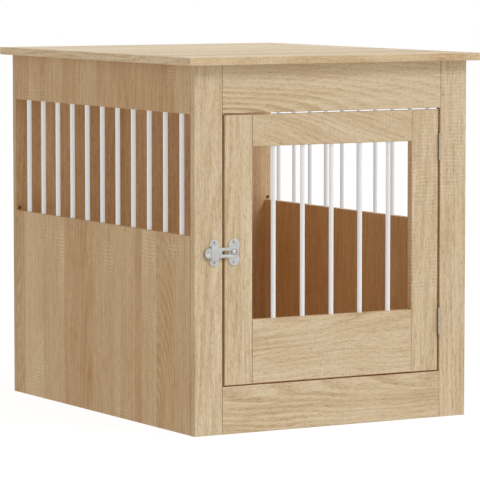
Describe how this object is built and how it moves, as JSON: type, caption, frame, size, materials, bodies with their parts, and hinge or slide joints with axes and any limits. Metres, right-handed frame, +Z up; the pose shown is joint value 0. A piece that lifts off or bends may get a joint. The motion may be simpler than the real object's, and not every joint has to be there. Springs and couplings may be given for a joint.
{
  "type": "pet crate",
  "caption": "Box-shaped pet crate with a tabletop, barred side windows and an inset barred door that swings on two butt hinges and closes with a lift latch.",
  "frame": {"origin": "on the floor, under the centre of the tabletop", "axes": "+X to the right along the front, +Y from the door to the rear panel, +Z up"},
  "size_m": [0.645, 0.8, 0.71],
  "materials": {
    "oak_foil_board": "light oak foil on engineered board, satin",
    "white_steel": "white powder coat, satin",
    "nickel_plated_steel": "nickel plate, satin",
    "zinc_plated_steel": "bright zinc plate",
    "cast_zinc": "die-cast zinc, tumbled satin",
    "beech": "plain fluted beech"
  },
  "bodies": {
    "cabinet": {"tabletop": "oak_foil_board", "front_left_stile": "oak_foil_board", "front_right_stile": "oak_foil_board", "front_header": "oak_foil_board", "front_bottom_rail": "oak_foil_board", "left_upper_rail": "oak_foil_board", "right_upper_rail": "oak_foil_board", "left_lower_board": "oak_foil_board", "right_lower_board": "oak_foil_board", "rear_panel": "oak_foil_board", "floor_panel": "oak_foil_board", "left_bar_1": "white_steel", "left_bar_2": "white_steel", "left_bar_3": "white_steel", "left_bar_4": "white_steel", "left_bar_5": "white_steel", "left_bar_6": "white_steel", "left_bar_7": "white_steel", "left_bar_8": "white_steel", "left_bar_9": "white_steel", "left_bar_10": "white_steel", "left_bar_11": "white_steel", "right_bar_1": "white_steel", "right_bar_2": "white_steel", "right_bar_3": "white_steel", "right_bar_4": "white_steel", "right_bar_5": "white_steel", "right_bar_6": "white_steel", "right_bar_7": "white_steel", "right_bar_8": "white_steel", "right_bar_9": "white_steel", "right_bar_10": "white_steel", "right_bar_11": "white_steel", "upper_hinge_frame_leaf": "nickel_plated_steel", "upper_hinge_pin": "zinc_plated_steel", "lower_hinge_frame_leaf": "nickel_plated_steel", "lower_hinge_pin": "zinc_plated_steel", "latch_keeper": "cast_zinc", "frame_hardware_screws": "zinc_plated_steel", "panel_screws": "zinc_plated_steel", "cam_nuts": "cast_zinc", "cam_bolts": "zinc_plated_steel", "body_dowels": "beech"},
    "door": {"door_latch_stile": "oak_foil_board", "door_hinge_stile": "oak_foil_board", "door_top_rail": "oak_foil_board", "door_bottom_rail": "oak_foil_board", "door_bar_1": "white_steel", "door_bar_2": "white_steel", "door_bar_3": "white_steel", "door_bar_4": "white_steel", "door_bar_5": "white_steel", "upper_hinge_door_leaf": "nickel_plated_steel", "lower_hinge_door_leaf": "nickel_plated_steel", "latch_door_plate": "cast_zinc", "latch_rivet": "cast_zinc", "door_hardware_screws": "zinc_plated_steel", "door_dowels": "beech"},
    "latch": {"latch_arm": "cast_zinc"}
  },
  "joints": [
    {"name": "door_swing", "type": "hinge", "parent": "cabinet", "child": "door", "pos_m": [0.241, -0.38365, 0.347], "axis": [0, 0, 1], "range_deg": [0, 180]},
    {"name": "latch_lift", "type": "hinge", "parent": "door", "child": "latch", "pos_m": [-0.2203, -0.3844, 0.344], "axis": [0, 1, 0], "range_deg": [0, 180]}
  ]
}
